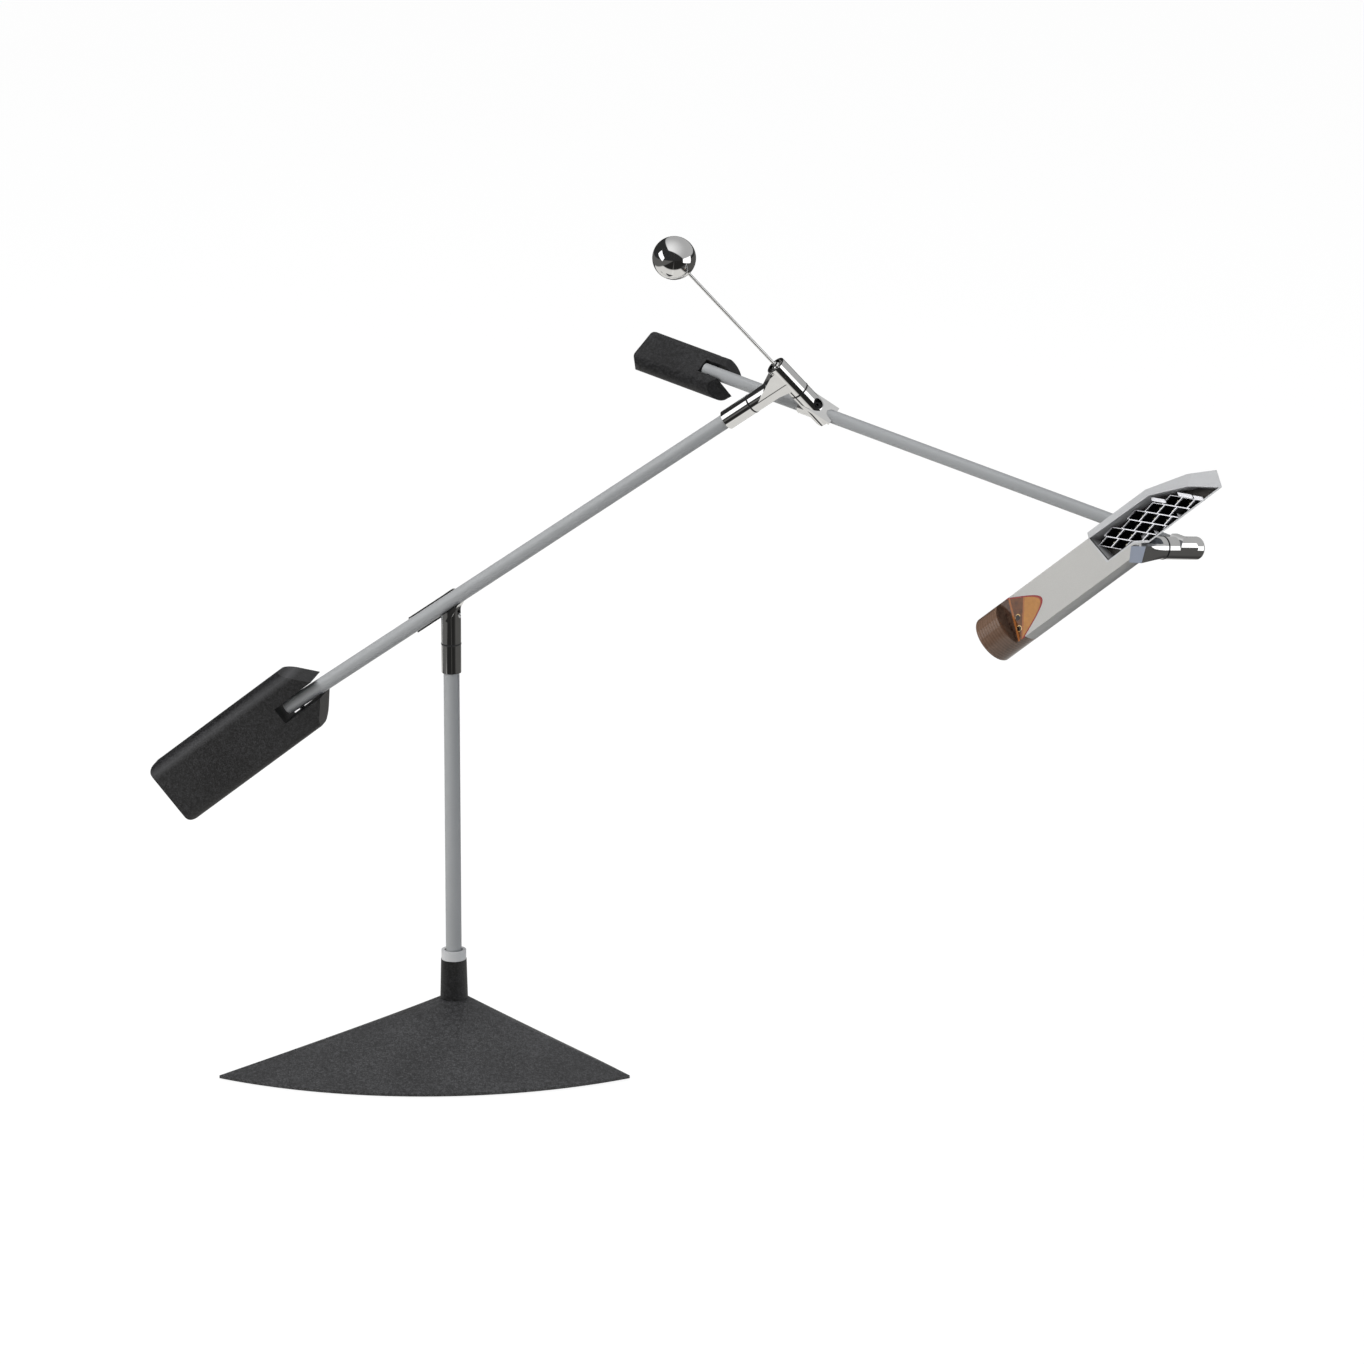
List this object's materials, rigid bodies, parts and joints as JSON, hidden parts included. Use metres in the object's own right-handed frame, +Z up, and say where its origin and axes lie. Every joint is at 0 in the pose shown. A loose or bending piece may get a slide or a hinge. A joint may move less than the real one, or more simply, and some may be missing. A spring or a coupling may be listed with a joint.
{
  "type": "desk lamp",
  "caption": "Desk lamp with a heavy pointed foot, an upright stem, counterweighted swivelling arms and a round LED head with a flat front.",
  "frame": {"origin": "on the table under the stem's axis, at the underside of the foot plate", "axes": "+Z up along the stem, +X towards the right tip of the foot, -Y towards the bulged front of the foot"},
  "size_m": [0.779, 0.3755, 0.6465],
  "materials": {
    "head_finish": "satin warm grey, fine grain",
    "black_iron": "black textured powder coat",
    "black_paint": "black textured powder coat",
    "grey_plastic": "satin",
    "satin_tube": "satin",
    "chrome": "polished",
    "steel": "ground",
    "black_steel": "blackened",
    "black_plastic": "matt",
    "amber": "translucent",
    "board": "matt",
    "reflector": "black gloss with metallised rims",
    "led": "clear"
  },
  "bodies": {
    "foot": {"foot_casting": "black_iron", "foot_plate": "black_plastic", "neck": "black_paint", "collar": "grey_plastic", "stem_tube": "satin_tube", "stem_sleeve": "chrome", "stem_ring": "black_plastic"},
    "lower_arm": {"stem_spindle": "steel", "stem_saddle": "chrome", "stem_saddle_screw": "black_steel", "lower_tube": "satin_tube", "lower_weight": "black_iron", "lower_weight_pin": "black_steel", "elbow_sleeve": "chrome", "elbow_ring": "black_plastic"},
    "elbow": {"elbow_spindle": "steel", "elbow_body": "chrome", "rod_nut": "chrome", "balance_rod": "chrome", "balance_ball": "chrome", "upper_ring": "black_plastic"},
    "upper_arm": {"upper_spindle": "steel", "upper_saddle": "chrome", "upper_saddle_screw": "black_steel", "upper_tube": "satin_tube", "upper_weight": "black_iron", "upper_weight_pin": "black_steel", "head_saddle": "chrome", "head_ring": "black_plastic"},
    "head": {"head_spindle": "steel", "head_bracket": "chrome", "head_body": "head_finish", "led_housing": "head_finish", "led_board": "board", "reflector_array": "reflector", "leds": "led", "amber_cap": "amber", "cap_frame": "amber"}
  },
  "joints": [
    {"name": "stem_swivel", "type": "hinge", "parent": "foot", "child": "lower_arm", "pos_m": [0, 0, 0.3131], "axis": [0, 0, 1], "range_deg": [-170, 170]},
    {"name": "elbow_swivel", "type": "hinge", "parent": "lower_arm", "child": "elbow", "pos_m": [0.22146, -0.0735, 0.51429], "axis": [0.7698, -0.2555, 0.585], "range_deg": [-170, 170]},
    {"name": "upper_arm_swivel", "type": "hinge", "parent": "elbow", "child": "upper_arm", "pos_m": [0.25549, -0.07963, 0.52547], "axis": [0.6354, 0.2198, -0.7402], "range_deg": [-8, 170]},
    {"name": "head_swivel", "type": "hinge", "parent": "upper_arm", "child": "head", "pos_m": [0.51059, -0.22731, 0.44743], "axis": [0.7902, 0.5894, -0.1677], "range_deg": [-40, 14]}
  ]
}
